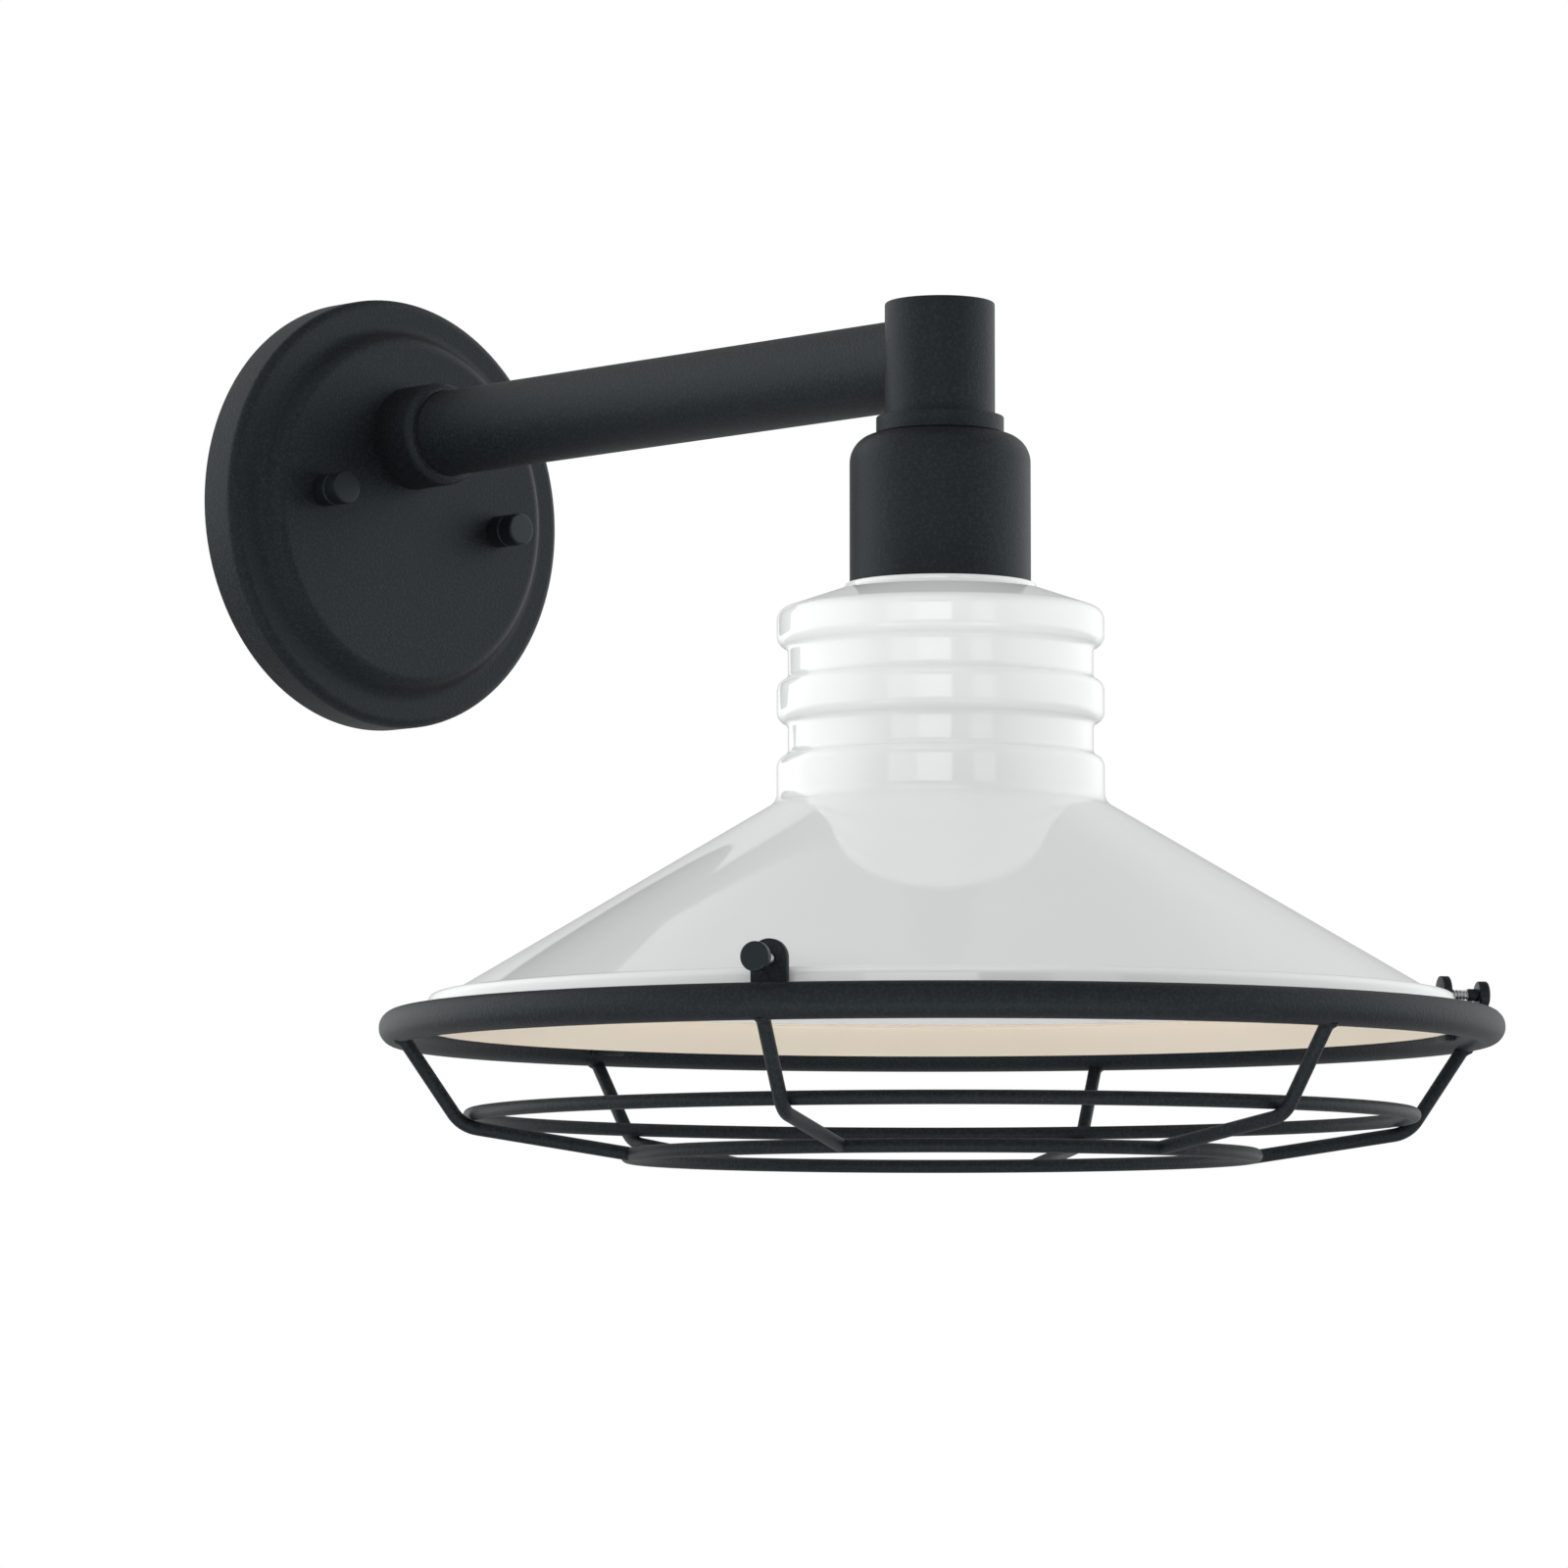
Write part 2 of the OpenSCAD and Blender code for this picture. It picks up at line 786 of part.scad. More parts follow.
// Outside of the shade, from its seat's hole to the edge of its lip
function shade_path() =
    let (
        out = bead_d / 2,
        step_r = seat_r + seat_round,
        step_z = -seat_drop,
        corner_run = shoulder_round * tan((90 - shoulder_slope) / 2),
        corner_z = step_z - (out - step_r) * tan(shoulder_slope),
        crease_r = lip_r - lip_step,
        crease_z = lip_h - shade_h,
        cone_top = -groove_drop - groove_pitch - last_bead_h,
        cone_slope = atan((cone_top - crease_z) / (crease_r - out)),
        bend = cone_fillet * tan((90 - cone_slope) / 2)
    )
    concat(
        [[skirt_d / 2 + hole_gap, 0]],
        arc(seat_r, -seat_round, seat_round, 90, 0),
        [[step_r, step_z]],
        arc(out - shoulder_round, corner_z - corner_run, shoulder_round, 90 - shoulder_slope, 0),
        groove_path(-groove_drop),
        groove_path(-groove_drop - groove_pitch),
        arc(out + cone_fillet, cone_top + bend, cone_fillet, 180, 270 - cone_slope),
        [[crease_r, crease_z]],
        arc(lip_r - lip_corner, crease_z - lip_corner, lip_corner, 90, 0),
        [[lip_r, -shade_h]]
    );

module shade() {
    outer = shade_path();
    inner = moved(outer, -shade_wall);
    color("#e6e8e8")
        on_shade_axis()
            translate([0, 0, seat_z])
                rotate_extrude($fn = 180)
                    polygon(concat(outer, reversed(inner)));
}

module shade_ring_nut() {
    r = ring_nut_d / 2;
    bore = skirt_d / 2 + fit;
    color("#efece2")
        on_shade_axis()
            translate([0, 0, seat_z - shade_wall - ring_nut_h])
                rotate_extrude()
                    polygon([
                        [bore, 0],
                        [r - ring_nut_edge, 0],
                        [r, ring_nut_edge],
                        [r, ring_nut_h],
                        [bore, ring_nut_h]
                    ]);
}

// Ring of round wire about the shade's axis
module wire_ring(r, z, d) {
    on_shade_axis()
        translate([0, 0, z])
            rotate_extrude($fn = 180)
                translate([r, 0])
                    circle(d = d, $fn = 48);
}

module guard_top_ring() {
    color("#23272b")
        wire_ring(ring_r, ring_z, guard_tube_d);
}

module guard_middle_ring() {
    color("#23272b")
        wire_ring(middle_r, ring_z - middle_ring_drop, wire_d);
}

module guard_inner_ring() {
    color("#23272b")
        wire_ring(inner_r, ring_z - inner_ring_drop, wire_d);
}

// One leg in the X-Z plane, bent round the outside of the middle ring
module leg_wire() {
    upper = sqrt(pow(norm(upper_span), 2) - pow(leg_bend_r - leg_aim, 2));
    lower = sqrt(pow(norm(lower_span), 2) - pow(leg_bend_r, 2)) - foot_gap_share * wire_d;
    translate([bend_at_r, 0, -bend_drop])
        rotate([90, 0, 0]) {
            rotate([0, 0, -leg_lean])
                translate([leg_bend_r, 0, 0])
                    rotate([-90, 0, 0])
                        cylinder(d = wire_d, h = upper, $fn = 48);
            rotate([0, 0, foot_slope - 90])
                rotate_extrude(angle = 90 - foot_slope - leg_lean + bend_lap)
                    translate([leg_bend_r, 0])
                        circle(d = wire_d, $fn = 48);
            rotate([0, 0, foot_slope])
                translate([0, -leg_bend_r, 0])
                    rotate([0, -90, 0])
                        cylinder(d = wire_d, h = lower, $fn = 48);
        }
}

module guard_leg(k) {
    color("#23272b")
        difference() {
            on_shade_axis()
                translate([0, 0, ring_z])
                    rotate([0, 0, guard_turn + leg_step * (k - 1) - 90])
                        leg_wire();
            wire_ring(ring_r, ring_z, guard_tube_d);
            wire_ring(inner_r, ring_z - inner_ring_drop, wire_d);
        }
}

// Places a child on the radius of tab k, with +X pointing out and Z = 0 at the ring
module at_tab(k) {
    on_shade_axis()
        translate([0, 0, ring_z])
            rotate([0, 0, guard_turn - leg_step - 90 + tab_step * (k - 1)])
                children();
}

module guard_tab(k) {
    outer_face = sqrt(pow(ring_inner_r, 2) - pow(tab_w / 2, 2)) - weld_gap;
    color("#23272b")
        at_tab(k)
            translate([outer_face - tab_t, 0, 0])
                rotate([90, 0, 90])
                    linear_extrude(tab_t)
                        difference() {
                            union() {
                                translate([-tab_w / 2, -tab_foot])
                                    square([tab_w, tab_top + tab_foot - tab_w / 2]);
                                translate([0, tab_top - tab_w / 2])
                                    circle(d = tab_w);
                            }
                            translate([0, screw_above_ring])
                                circle(d = screw_d + 2 * fit);
                        }
}

module thumbscrew(k) {
    tip = lip_r - screw_bite;
    color("#1f2226")
        at_tab(k)
            translate([tip, 0, screw_above_ring])
                rotate([0, 90, 0])
                    rotate_extrude($fn = 48)
                        polygon([
                            [0, 0],
                            [screw_r - tip_edge, 0],
                            [screw_r, tip_edge],
                            [screw_r, screw_len],
                            [screw_head_d / 2 - head_edge, screw_len],
                            [screw_head_d / 2, screw_len + head_edge],
                            [screw_head_d / 2, screw_len + screw_head_t - head_edge],
                            [screw_head_d / 2 - head_edge, screw_len + screw_head_t],
                            [0, screw_len + screw_head_t]
                        ]);
}

wall_canopy();
wall_gasket();
mounting_strap();
strap_studs();
stud_locknuts();
ground_screw();
cap_nut_at(-1);  // cap_nut_left
cap_nut_at(1);  // cap_nut_right
arm_collar();
arm_tube();
arm_locknut();
arm_hub();
neck_washer();
hub_nipple();
socket_cup();
nipple_locknut();
socket_bracket();
bracket_screws();
lampholder_body();
lampholder_shell();
lampholder_contact();
shade();
shade_ring_nut();
guard_top_ring();
guard_middle_ring();
guard_inner_ring();
guard_leg(1);  // guard_leg_1
guard_leg(2);  // guard_leg_2
guard_leg(3);  // guard_leg_3
guard_leg(4);  // guard_leg_4
guard_leg(5);  // guard_leg_5
guard_leg(6);  // guard_leg_6
guard_tab(1);  // guard_tab_1
guard_tab(2);  // guard_tab_2
guard_tab(3);  // guard_tab_3
thumbscrew(1);  // thumbscrew_1
thumbscrew(2);  // thumbscrew_2
thumbscrew(3);  // thumbscrew_3
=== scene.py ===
import math

import bpy
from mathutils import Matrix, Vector


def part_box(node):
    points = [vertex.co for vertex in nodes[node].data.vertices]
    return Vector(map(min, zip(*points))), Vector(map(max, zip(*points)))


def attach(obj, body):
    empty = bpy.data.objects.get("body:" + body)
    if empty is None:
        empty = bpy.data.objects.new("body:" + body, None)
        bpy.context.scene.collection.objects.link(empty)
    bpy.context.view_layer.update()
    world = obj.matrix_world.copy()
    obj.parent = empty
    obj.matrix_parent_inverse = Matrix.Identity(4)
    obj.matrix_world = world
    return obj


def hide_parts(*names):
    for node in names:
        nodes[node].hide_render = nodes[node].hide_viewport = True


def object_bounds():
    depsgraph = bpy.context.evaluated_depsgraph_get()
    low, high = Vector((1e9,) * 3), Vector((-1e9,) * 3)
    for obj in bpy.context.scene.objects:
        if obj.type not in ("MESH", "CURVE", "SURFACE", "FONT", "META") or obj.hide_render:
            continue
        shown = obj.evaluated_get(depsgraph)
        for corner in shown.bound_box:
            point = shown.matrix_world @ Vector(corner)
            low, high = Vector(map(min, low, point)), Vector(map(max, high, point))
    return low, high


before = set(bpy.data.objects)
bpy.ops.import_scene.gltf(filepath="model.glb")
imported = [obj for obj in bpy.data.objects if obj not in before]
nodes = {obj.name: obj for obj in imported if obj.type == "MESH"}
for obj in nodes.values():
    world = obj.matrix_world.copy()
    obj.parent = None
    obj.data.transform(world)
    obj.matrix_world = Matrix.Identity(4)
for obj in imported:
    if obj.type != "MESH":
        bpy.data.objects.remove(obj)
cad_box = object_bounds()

# The view. The photograph looks at the light from 45 degrees off the arm and a little
# below the guard, through a long lens. The camera's place is measured from the shade's
# axis and from the middle of the guard's top ring.
ring_low, ring_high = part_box("guard_top_ring")
shade_axis = (ring_low + ring_high) / 2
view_distance = 2.5357
view_bearing = math.radians(45.222)
view_drop = 0.13105
view_yaw = math.radians(1.285)
view_tilt = math.radians(4.965)
view_lens = 161.0
sensor = 36.0
bpy.ops.object.camera_add(
    location=shade_axis + Vector((
        -view_distance * math.sin(view_bearing),
        -view_distance * math.cos(view_bearing),
        -view_drop,
    )),
    rotation=(math.pi / 2 + view_tilt, 0, view_yaw - view_bearing),
)
camera = bpy.context.object
camera.name = "camera"
camera.data.lens = view_lens
camera.data.sensor_width = sensor
camera.data.clip_end = 50
bpy.context.scene.camera = camera
bpy.context.scene.view_settings.view_transform = "Standard"

# The studio. A white room with a dim ceiling lights the object evenly, and its walls glow on
# both sides. A window in three panes stands beside the camera, a soft box overhead, and a
# long low one in front lights the shade's inside. Bearings are from the camera's, to its left.
room = bpy.data.worlds.new("studio")
bpy.context.scene.world = room
room.use_nodes = True
room_tree = room.node_tree
room_out = room_tree.nodes["World Output"]
room_light = room_tree.nodes["Background"]
room_light.inputs["Color"].default_value = (1.0, 1.0, 1.0, 1.0)
room_way = room_tree.nodes.new("ShaderNodeTexCoord")
room_parts = room_tree.nodes.new("ShaderNodeSeparateXYZ")
room_tree.links.new(room_way.outputs["Generated"], room_parts.inputs["Vector"])
room_rise = room_tree.nodes.new("ShaderNodeMapRange")
room_rise.interpolation_type = "SMOOTHSTEP"
room_rise.inputs["From Min"].default_value = 0.55
room_rise.inputs["From Max"].default_value = 0.84
room_rise.inputs["To Min"].default_value = 0.50
room_rise.inputs["To Max"].default_value = 0.19
room_tree.links.new(room_parts.outputs["Z"], room_rise.inputs["Value"])
room_total = room_rise.outputs["Result"]
for bearing, strength in [(106, 1.65), (-108, 1.4)]:
    heading = view_bearing + math.radians(bearing)
    toward = room_tree.nodes.new("ShaderNodeVectorMath")
    toward.operation = "DOT_PRODUCT"
    toward.inputs[1].default_value = (-math.sin(heading), -math.cos(heading), 0)
    room_tree.links.new(room_way.outputs["Generated"], toward.inputs[0])
    glow = room_tree.nodes.new("ShaderNodeMapRange")
    glow.interpolation_type = "SMOOTHSTEP"
    glow.inputs["From Min"].default_value = 0.35
    glow.inputs["From Max"].default_value = 0.98
    glow.inputs["To Max"].default_value = strength
    room_tree.links.new(toward.outputs["Value"], glow.inputs["Value"])
    room_sum = room_tree.nodes.new("ShaderNodeMath")
    room_tree.links.new(room_total, room_sum.inputs[0])
    room_tree.links.new(glow.outputs["Result"], room_sum.inputs[1])
    room_total = room_sum.outputs["Value"]
room_tree.links.new(room_total, room_light.inputs["Strength"])
room_seen = room_tree.nodes.new("ShaderNodeBackground")
room_seen.inputs["Color"].default_value = (1.0, 1.0, 1.0, 1.0)
room_seen.inputs["Strength"].default_value = 1.0
room_path = room_tree.nodes.new("ShaderNodeLightPath")
room_mix = room_tree.nodes.new("ShaderNodeMixShader")
room_tree.links.new(room_path.outputs["Is Camera Ray"], room_mix.inputs["Fac"])
room_tree.links.new(room_light.outputs["Background"], room_mix.inputs[1])
room_tree.links.new(room_seen.outputs["Background"], room_mix.inputs[2])
room_tree.links.new(room_mix.outputs["Shader"], room_out.inputs["Surface"])

aim_back = 0.08
aim_up = 0.12
middle = shade_axis + Vector((0, aim_back, aim_up))


def softbox(name, bearing, height, distance, width, tall, power):
    """Stands a soft box, in metres and watts, on a bearing and turned to face the object."""
    heading = view_bearing + math.radians(bearing)
    away = Vector((-math.sin(heading), -math.cos(heading), 0)) * distance
    bpy.ops.object.light_add(type="AREA", location=middle + away + Vector((0, 0, height)))
    lamp = bpy.context.object
    lamp.name = name
    lamp.data.shape = "RECTANGLE"
    lamp.data.size = width
    lamp.data.size_y = tall
    lamp.data.energy = power
    lamp.rotation_euler = (middle - lamp.location).to_track_quat("-Z", "Y").to_euler()


softbox("window_middle", 3, 0.30, 2.6, 1.10, 0.55, 5.2)
softbox("window_left", 25, 0.30, 2.6, 0.90, 0.55, 2.2)
softbox("window_right", -31, 0.30, 2.6, 0.68, 0.55, 1.4)
softbox("overhead", 10, 2.4, 1.4, 2.0, 2.0, 13)
softbox("low_front", 0, -0.64, 0.78, 1.6, 0.3, 4.1)

# The floor. It is a plain pale sheet, two metres below a light that hangs on a wall. Its
# matt paint has a faint cloud in it.


class Signal:
    """The output of a shader node, so that sums and products of shader values read as such."""

    def __init__(self, finish, output):
        self.finish = finish
        self.output = output

    def maths(self, operation, first, second):
        return self.finish.node("ShaderNodeMath", {"operation": operation}, {0: first, 1: second})

    def __add__(self, other):
        return self.maths("ADD", self, other)

    def __radd__(self, other):
        return self.maths("ADD", other, self)

    def __mul__(self, other):
        return self.maths("MULTIPLY", self, other)

    def __rmul__(self, other):
        return self.maths("MULTIPLY", other, self)


class Finish:
    """A material, and the one method that adds a node to it."""

    def __init__(self, name, **constants):
        self.material = bpy.data.materials.new(name)
        self.material.use_nodes = True
        self.tree = self.material.node_tree
        self.shader = self.tree.nodes["Principled BSDF"]
        for label, value in constants.items():
            self.shader.inputs[label.replace("_", " ")].default_value = value
        self.place = self.node("ShaderNodeTexCoord", {}, {}, "Object")

    def node(self, kind, settings, inputs, output=0):
        node = self.tree.nodes.new(kind)
        for label, value in settings.items():
            setattr(node, label, value)
        for label, value in inputs.items():
            if isinstance(value, Signal):
                self.tree.links.new(value.output, node.inputs[label])
            else:
                node.inputs[label].default_value = value
        return Signal(self, node.outputs[output])

    def noise(self, grain, detail=2.0):
        """Noise whose lumps are about one grain across, in metres."""
        inputs = {"Vector": self.place, "Scale": 1 / grain, "Detail": detail}
        return self.node("ShaderNodeTexNoise", {}, inputs, "Fac")

    def blend(self, amount, first, second):
        """A colour between two, by a varying amount."""
        inputs = {0: amount, 6: first, 7: second}
        return self.node("ShaderNodeMix", {"data_type": "RGBA"}, inputs, 2)

    def step(self, value, low, high):
        """0 below low, 1 above high, and smooth between them."""
        settings = {"interpolation_type": "SMOOTHSTEP"}
        return self.node("ShaderNodeMapRange", settings, {0: value, 1: low, 2: high})

    def wear(self, **varying):
        """Joins what changes over the surface to the shader."""
        for label, signal in varying.items():
            self.tree.links.new(signal.output, self.shader.inputs[label.replace("_", " ")])
        return self.material

    def relief(self, height, depth):
        """A normal from a height of 0 to 1 that stands for a depth in metres."""
        inputs = {"Height": height, "Distance": depth, "Strength": 1.0}
        return self.node("ShaderNodeBump", {}, inputs)


def dress(piece, material):
    """Gives a piece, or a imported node, one material all over."""
    piece.data.materials.clear()
    piece.data.materials.append(material)


floor_drop = 2.0
floor_size = 16
floor_place = (0, 0, cad_box[0][2] - floor_drop)
bpy.ops.mesh.primitive_plane_add(size=floor_size, location=floor_place)
floor = bpy.context.object
floor.name = "floor"
bpy.ops.object.transform_apply(location=True, rotation=True, scale=True)
floor_finish = Finish("pale_floor", Roughness=0.8)
floor_tone = floor_finish.blend(
    floor_finish.noise(0.4, 3.0), (0.80, 0.80, 0.80, 1), (0.84, 0.84, 0.84, 1))
dress(floor, floor_finish.wear(Base_Color=floor_tone))

# The strap. It is a flat stamping of zinc-plated steel that screws to the outlet box behind
# the canopy, with a green ground screw in it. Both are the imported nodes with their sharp
# edges eased, as shearing and tumbling leave them.


def copied(node, name):
    """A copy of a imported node's mesh as a new piece, with its loose triangles merged."""
    piece = bpy.data.objects.new(name, nodes[node].data.copy())
    bpy.context.scene.collection.objects.link(piece)
    bpy.ops.object.select_all(action="DESELECT")
    piece.select_set(True)
    bpy.context.view_layer.objects.active = piece
    bpy.ops.mesh.customdata_custom_splitnormals_clear()
    bpy.ops.object.mode_set(mode="EDIT")
    bpy.ops.mesh.select_all(action="SELECT")
    bpy.ops.mesh.remove_doubles(threshold=1e-6)
    bpy.ops.mesh.dissolve_limited(angle_limit=math.radians(0.5))
    bpy.ops.object.mode_set(mode="OBJECT")
    return piece


def eased(piece, width, sharp=35, rounds=2):
    """Rounds every edge of a piece that is sharper than an angle."""
    bevel = piece.modifiers.new("eased", "BEVEL")
    bevel.width = width
    bevel.segments = rounds
    bevel.limit_method = "ANGLE"
    bevel.angle_limit = math.radians(sharp)
    bevel.use_clamp_overlap = True
    bpy.context.view_layer.objects.active = piece
    bpy.ops.object.modifier_apply(modifier=bevel.name)
    bpy.ops.object.shade_smooth_by_angle(angle=math.radians(sharp))
    return piece


def zinc():
    """Bright zinc plating: grey, a little blue, with a fine rolled grain and darker blooms."""
    finish = Finish("zinc_plated_steel", Metallic=1.0)
    grain = finish.noise(0.0006)
    bloom = finish.noise(0.008, 3.0)
    tone = finish.blend(bloom, (0.50, 0.51, 0.52, 1), (0.68, 0.69, 0.69, 1))
    rough = 0.28 + 0.16 * bloom
    return finish.wear(Base_Color=tone, Roughness=rough, Normal=finish.relief(grain, 0.00001))


zinc_plate = zinc()
strap = eased(copied("mounting_strap", "strap_stamping"), 0.0003)
dress(strap, zinc_plate)
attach(strap, "fixture")
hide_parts("mounting_strap")

green = Finish("green_ground_screw", Metallic=0.55, Roughness=0.34)
green_tone = green.blend(green.noise(0.002, 3.0), (0.015, 0.17, 0.06, 1), (0.03, 0.27, 0.10, 1))
ground = eased(copied("ground_screw", "ground_screw_head"), 0.0002)
dress(ground, green.wear(Base_Color=green_tone, Normal=green.relief(green.noise(0.0004), 0.00001)))
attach(ground, "fixture")
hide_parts("ground_screw")

# The studs and their nuts. Two threaded steel studs stand in the strap and carry the canopy.
# Each is a plain core with one rolled thread round it, and a hexagon nut locks it.


def lathe(name, outline, origin, axis, turns=96, arc_steps=64):
    """Turns a piece on a lathe. The outline is a chain of corners, each a radius, a distance
    along the axis and the radius that rounds it; it is drawn straight by straight, its
    corners are swung, and the chain is spun about the axis."""
    out = axis.cross(Vector((0, 0, 1)))
    out = out.normalized() if out.length > 0.5 else Vector((1, 0, 0))
    across = out.cross(axis)

    def at(point):
        return origin + out * point[0] + axis * point[1]

    bpy.ops.object.select_all(action="DESELECT")
    bpy.ops.mesh.primitive_plane_add(size=0.01)
    piece = bpy.context.object
    piece.name = name
    bpy.ops.object.mode_set(mode="EDIT")
    bpy.ops.mesh.select_all(action="SELECT")
    bpy.ops.mesh.merge(type="CENTER")
    pen = Vector(outline[0][:2])
    bpy.ops.transform.translate(value=at(pen))
    for i in range(1, len(outline)):
        corner = Vector(outline[i][:2])
        radius = outline[i][2] if len(outline[i]) > 2 else 0
        end = corner
        turn = 0
        if radius > 0 and i + 1 < len(outline):
            before = (corner - Vector(outline[i - 1][:2])).normalized()
            after = (Vector(outline[i + 1][:2]) - corner).normalized()
            turn = math.atan2(before.cross(after), before.dot(after))
            end = corner - before * radius * math.tan(abs(turn) / 2)
        if (end - pen).length > 1e-7:
            bpy.ops.mesh.extrude_vertices_move(TRANSFORM_OT_translate={"value": at(end) - at(pen)})
        pen = end
        if turn:
            side = Vector((-before.y, before.x)) * math.copysign(radius, turn)
            steps = max(2, math.ceil(abs(turn) / math.tau * arc_steps))
            bpy.ops.mesh.spin(steps=steps, angle=-turn, center=at(end + side), axis=across)
            pen = corner + after * radius * math.tan(abs(turn) / 2)
    bpy.ops.mesh.select_all(action="SELECT")
    bpy.ops.mesh.spin(steps=turns, angle=math.tau, center=origin, axis=axis)
    bpy.ops.mesh.select_all(action="SELECT")
    bpy.ops.mesh.remove_doubles(threshold=1e-6)
    bpy.ops.mesh.normals_make_consistent(inside=False)
    bpy.ops.object.mode_set(mode="OBJECT")
    bpy.ops.object.shade_smooth_by_angle(angle=math.radians(30))
    return piece


def joined(name, pieces):
    """Joins pieces into one."""
    bpy.ops.object.select_all(action="DESELECT")
    for piece in pieces:
        piece.select_set(True)
    bpy.context.view_layer.objects.active = pieces[0]
    bpy.ops.object.join()
    pieces[0].name = name
    return pieces[0]


def thread(crest, root, pitch, start, length, axis, steps=20):
    """One thread ridge: a tooth drawn flat, swept round the axis as it climbs, capped, and
    sunk into the core at both ends so that it runs out."""
    bpy.ops.object.select_all(action="DESELECT")
    bpy.ops.mesh.primitive_plane_add(size=0.01)
    ridge = bpy.context.object
    bpy.ops.object.mode_set(mode="EDIT")
    bpy.ops.mesh.select_all(action="SELECT")
    bpy.ops.mesh.merge(type="CENTER")
    sunk = root - 0.15 * (crest - root)
    tooth = [
        (sunk, 0),
        (crest, 0.36 * pitch),
        (crest, 0.48 * pitch),
        (sunk, 0.84 * pitch),
        (sunk, 0),
    ]
    bpy.ops.transform.translate(value=(sunk, 0, 0))
    for a, b in zip(tooth, tooth[1:]):
        move = (b[0] - a[0], 0, b[1] - a[1])
        bpy.ops.mesh.extrude_vertices_move(TRANSFORM_OT_translate={"value": move})
    bpy.ops.mesh.select_all(action="SELECT")
    bpy.ops.mesh.remove_doubles(threshold=1e-6)
    bpy.ops.object.mode_set(mode="OBJECT")
    sweep = ridge.modifiers.new("sweep", "SCREW")
    sweep.screw_offset = pitch
    sweep.iterations = max(1, round(length / pitch) - 1)
    sweep.steps = sweep.render_steps = steps
    sweep.use_smooth_shade = False
    bpy.ops.object.modifier_apply(modifier=sweep.name)
    bpy.ops.object.mode_set(mode="EDIT")
    bpy.ops.mesh.select_all(action="DESELECT")
    bpy.ops.mesh.select_mode(type="VERT")
    bpy.ops.mesh.select_non_manifold()
    run_out = 0.8 * root / crest
    bpy.ops.transform.resize(value=(run_out, run_out, 1), center_override=(0, 0, 0))
    bpy.ops.mesh.select_all(action="SELECT")
    bpy.ops.mesh.fill_holes(sides=0)
    bpy.ops.mesh.normals_make_consistent(inside=False)
    bpy.ops.object.mode_set(mode="OBJECT")
    ridge.rotation_euler = Vector((0, 0, 1)).rotation_difference(axis).to_euler()
    ridge.location = start
    bpy.ops.object.transform_apply(location=True, rotation=True, scale=True)
    bpy.ops.object.shade_smooth_by_angle(angle=math.radians(30))
    return ridge


off_wall = Vector((0, -1, 0))
right_low, right_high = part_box("cap_nut_right")
left_low, left_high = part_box("cap_nut_left")
stud_low, stud_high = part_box("strap_studs")
stud_r = 0.0021
stud_root = 0.0017
stud_pitch = 0.0008
stud_len = stud_high.y - stud_low.y
stud_places = []
for low, high in [(left_low, left_high), (right_low, right_high)]:
    stud_places.append(Vector(((low.x + high.x) / 2, 0, (low.z + high.z) / 2)))
rods = []
for place in stud_places:
    rods.append(lathe("rod", [
        (0, 0),
        (stud_root, 0, 0.0002),
        (stud_root, stud_len, 0.0002),
        (0, stud_len),
    ], place, off_wall, 24, 24))
    rods.append(thread(stud_r, stud_root, stud_pitch, place, stud_len - stud_pitch, off_wall, 16))
studs = joined("threaded_studs", rods)
dress(studs, zinc_plate)
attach(studs, "fixture")
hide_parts("strap_studs")

stud_nuts = eased(copied("stud_locknuts", "stud_nuts"), 0.0003)
dress(stud_nuts, zinc_plate)
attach(stud_nuts, "fixture")
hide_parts("stud_locknuts")

# The gasket. It is a ring of black closed-cell foam, glued round the canopy's ledge inside
# the rim, and it seals the canopy to the wall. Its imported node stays.
foam = Finish("foam_gasket", Roughness=0.95)
foam_cells = foam.noise(0.0007, 1.0)
foam_tone = foam.blend(foam_cells, (0.018, 0.018, 0.019, 1), (0.045, 0.045, 0.047, 1))
foam_normal = foam.relief(foam_cells, 0.0002)
dress(nodes["wall_gasket"], foam.wear(Base_Color=foam_tone, Normal=foam_normal))

# The canopy. It is cast in one piece with a stepped face and powder coated black. It is
# turned here as a closed section, and then drilled for the arm and for the two studs.


def powder_coat():
    """Black powder coat with a fine sandy texture: small pimples, a satin film between
    them, and a slow change of tone over a hand's width."""
    finish = Finish(
        "black_powder_coat", Specular_IOR_Level=0.22, Specular_Tint=(0.76, 0.93, 1.0, 1))
    grain = finish.noise(0.0011, 3.0)
    pimples = finish.step(grain, 0.42, 0.68)
    cloud = finish.noise(0.05, 2.0)
    film = finish.blend(cloud, (0.0045, 0.0056, 0.0064, 1), (0.0064, 0.0077, 0.0086, 1))
    tone = finish.blend(pimples, film, (0.0125, 0.0145, 0.0160, 1))
    rough = 0.46 + 0.12 * grain
    return finish.wear(Base_Color=tone, Roughness=rough, Normal=finish.relief(pimples, 0.00006))


def drilled(piece, radius, start, axis, length):
    """Drills a round hole through a piece."""
    bpy.ops.object.select_all(action="DESELECT")
    bpy.ops.mesh.primitive_cylinder_add(vertices=64, radius=radius, depth=length)
    drill = bpy.context.object
    drill.rotation_euler = Vector((0, 0, 1)).rotation_difference(axis).to_euler()
    drill.location = start + axis * length / 2
    hole = piece.modifiers.new("hole", "BOOLEAN")
    hole.operation = "DIFFERENCE"
    hole.solver = "EXACT"
    hole.object = drill
    bpy.context.view_layer.objects.active = piece
    bpy.ops.object.modifier_apply(modifier=hole.name)
    bpy.data.objects.remove(drill)
    return piece


